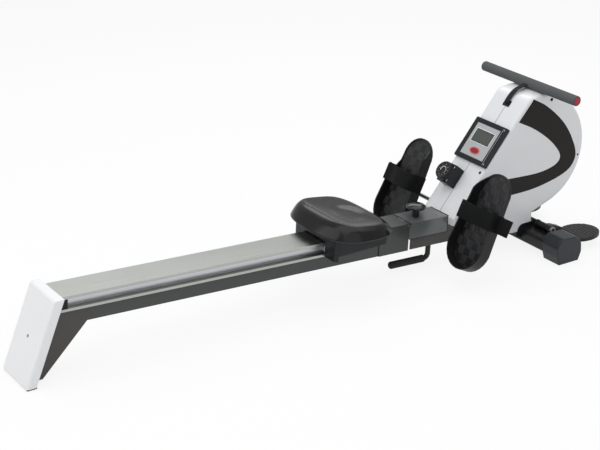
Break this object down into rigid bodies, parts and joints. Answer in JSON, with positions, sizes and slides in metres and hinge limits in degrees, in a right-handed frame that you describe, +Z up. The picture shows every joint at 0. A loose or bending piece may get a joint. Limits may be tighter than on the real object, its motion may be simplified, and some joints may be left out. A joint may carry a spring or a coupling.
{
  "type": "magnetic rowing machine",
  "caption": "Folding magnetic rower: sliding seat on an aluminium rail, tilting foot pedals, strap-pulled bar handle, cased flywheel, console and tension dial.",
  "frame": {"origin": "on the floor under the middle of the machine's overall length, on its centre plane", "axes": "+X from the rear leg to the flywheel casing, +Y to the left of a rower who faces the casing, +Z up"},
  "size_m": [2.0499, 0.6374, 0.5597],
  "materials": {
    "white_plastic": "smooth white moulding, satin",
    "black_plastic": "moulded, satin",
    "black_paint": "black paint, satin",
    "grey_plastic": "moulded, satin",
    "painted_steel": "dark grey metallic paint, satin",
    "bare_steel": "bare, fine brushed",
    "cast_iron": "turned, oiled",
    "aluminium": "extruded and satin anodised",
    "rubber": "matt",
    "foam": "closed-cell foam, matt",
    "seat_skin": "integral skin foam, soft sheen",
    "webbing": "woven webbing, matt",
    "silver_plastic": "painted silver, satin",
    "display_lens": "clear lens over a grey display",
    "red_plastic": "moulded, satin",
    "circuit_board": "solder mask"
  },
  "bodies": {
    "frame": {"front_frame": "painted_steel", "frame_cover": "painted_steel", "stabiliser_tube": "painted_steel", "stabiliser_cap_left": "grey_plastic", "stabiliser_cap_right": "grey_plastic", "casing_left": "white_plastic", "casing_right": "white_plastic", "console_bezel": "grey_plastic", "console_panel": "silver_plastic", "console_window": "display_lens", "console_board": "circuit_board", "tension_base": "grey_plastic", "tension_cable": "rubber", "pedal_axle": "bare_steel", "drum_axle": "bare_steel", "step_pin_left": "bare_steel", "step_pin_right": "bare_steel", "fold_pin": "bare_steel", "drive_belt": "rubber", "recoil_spring": "bare_steel", "flywheel_bearing_left": "bare_steel", "flywheel_bearing_right": "bare_steel"},
    "rail": {"rail": "aluminium", "rail_beam": "painted_steel", "rail_bracket": "painted_steel", "rear_leg": "painted_steel", "rear_cap": "white_plastic", "rear_foot": "rubber", "rear_stop_left": "rubber", "rear_stop_right": "rubber"},
    "seat": {"seat_cushion": "seat_skin", "seat_carriage": "black_plastic", "seat_frame": "painted_steel"},
    "roller_rear_left": {"seat_roller_rear_left": "white_plastic"},
    "roller_rear_right": {"seat_roller_rear_right": "white_plastic"},
    "roller_front_left": {"seat_roller_front_left": "white_plastic"},
    "roller_front_right": {"seat_roller_front_right": "white_plastic"},
    "handle": {"handle_bar": "bare_steel", "handle_grip": "foam", "handle_cap_left": "red_plastic", "handle_cap_right": "red_plastic", "pull_strap": "webbing"},
    "flywheel": {"flywheel": "cast_iron", "flywheel_axle": "bare_steel"},
    "drum": {"strap_drum": "grey_plastic", "wound_strap": "webbing"},
    "guide_roller": {"strap_roller": "grey_plastic"},
    "magnet": {"magnet_bracket": "painted_steel"},
    "tension_dial": {"tension_knob": "black_plastic"},
    "button": {"console_button": "red_plastic"},
    "pedal_left": {"pedal_left": "black_plastic", "pedal_strap_left": "webbing"},
    "pedal_right": {"pedal_right": "black_plastic", "pedal_strap_right": "webbing"},
    "step_left": {"step_plate_left": "black_paint"},
    "step_right": {"step_plate_right": "black_paint"},
    "lock_knob": {"fold_knob": "black_plastic"},
    "lever": {"fold_lever": "black_paint"}
  },
  "joints": [
    {"name": "rail_fold", "type": "hinge", "parent": "frame", "child": "rail", "pos_m": [0.31466, 0, 0.17401], "axis": [0, 1, 0], "range_deg": [0, 87]},
    {"name": "seat_slide", "type": "slide", "parent": "rail", "child": "seat", "axis": [-0.9986, 0, 0.0523], "range_m": [0, 0.84]},
    {"name": "roller_rear_left_spin", "type": "hinge", "parent": "seat", "child": "roller_rear_left", "pos_m": [0.00611, 0.04525, 0.17165], "axis": [0, -1, 0], "continuous": true},
    {"name": "roller_rear_right_spin", "type": "hinge", "parent": "seat", "child": "roller_rear_right", "pos_m": [0.00611, -0.04525, 0.17165], "axis": [0, -1, 0], "continuous": true},
    {"name": "roller_front_left_spin", "type": "hinge", "parent": "seat", "child": "roller_front_left", "pos_m": [0.14592, 0.04525, 0.16433], "axis": [0, -1, 0], "continuous": true},
    {"name": "roller_front_right_spin", "type": "hinge", "parent": "seat", "child": "roller_front_right", "pos_m": [0.14592, -0.04525, 0.16433], "axis": [0, -1, 0], "continuous": true},
    {"name": "flywheel_spin", "type": "hinge", "parent": "frame", "child": "flywheel", "pos_m": [0.809, 0, 0.33], "axis": [0, 1, 0], "range_deg": [0, 5338.9]},
    {"name": "handle_pull", "type": "slide", "parent": "frame", "child": "handle", "axis": [-0.9853, 0, 0.1709], "range_m": [0, 0.901], "stiffness_N_per_m": 15, "springref_m": -0.6, "deforming": ["pull_strap"]},
    {"name": "drum_spin", "type": "hinge", "parent": "frame", "child": "drum", "pos_m": [0.72, 0, 0.265], "axis": [0, 1, 0], "continuous": true},
    {"name": "guide_roller_spin", "type": "hinge", "parent": "frame", "child": "guide_roller", "pos_m": [0.74639, 0, 0.47248], "axis": [0, 1, 0], "continuous": true},
    {"name": "tension_turn", "type": "hinge", "parent": "frame", "child": "tension_dial", "pos_m": [0.54541, 0.026, 0.26365], "axis": [-0.7711, 0, 0.6368], "range_deg": [-135, 135]},
    {"name": "magnet_swing", "type": "hinge", "parent": "frame", "child": "magnet", "pos_m": [0.66617, 0, 0.27801], "axis": [0, 1, 0], "range_deg": [-3.1, 3.1]},
    {"name": "button_press", "type": "slide", "parent": "frame", "child": "button", "axis": [0.7711, 0, -0.6368], "range_m": [0, 0.001], "stiffness_N_per_m": 300, "springref_m": -0.001},
    {"name": "pedal_left_tilt", "type": "hinge", "parent": "frame", "child": "pedal_left", "pos_m": [0.496, 0.198, 0.1785], "axis": [0, 1, 0], "range_deg": [-20, 35]},
    {"name": "pedal_right_tilt", "type": "hinge", "parent": "frame", "child": "pedal_right", "pos_m": [0.496, -0.198, 0.1785], "axis": [0, 1, 0], "range_deg": [-20, 35]},
    {"name": "step_left_fold", "type": "hinge", "parent": "frame", "child": "step_left", "pos_m": [0.813, 0.146, 0.084], "axis": [0, -1, 0], "range_deg": [0, 90]},
    {"name": "step_right_fold", "type": "hinge", "parent": "frame", "child": "step_right", "pos_m": [0.813, -0.146, 0.084], "axis": [0, -1, 0], "range_deg": [0, 90]},
    {"name": "lock_knob_pull", "type": "slide", "parent": "frame", "child": "lock_knob", "axis": [0.0523, 0, 0.9986], "range_m": [0, 0.012], "stiffness_N_per_m": 400, "springref_m": -0.01},
    {"name": "lever_swing", "type": "hinge", "parent": "frame", "child": "lever", "pos_m": [0.40709, -0.026, 0.08425], "axis": [0.0523, 0, 0.9986], "range_deg": [-50, 50]}
  ],
  "couplings": [
    {"joint": "roller_rear_left_spin", "follows": "seat_slide", "rad_per_m": 55.556},
    {"joint": "roller_rear_right_spin", "follows": "seat_slide", "rad_per_m": 55.556},
    {"joint": "roller_front_left_spin", "follows": "seat_slide", "rad_per_m": 55.556},
    {"joint": "roller_front_right_spin", "follows": "seat_slide", "rad_per_m": 55.556},
    {"joint": "handle_pull", "follows": "flywheel_spin", "m_per_rad": 0.0096585},
    {"joint": "drum_spin", "follows": "flywheel_spin", "ratio": 0.21951},
    {"joint": "guide_roller_spin", "follows": "flywheel_spin", "ratio": 0.75457},
    {"joint": "magnet_swing", "follows": "tension_turn", "ratio": 0.022222}
  ]
}
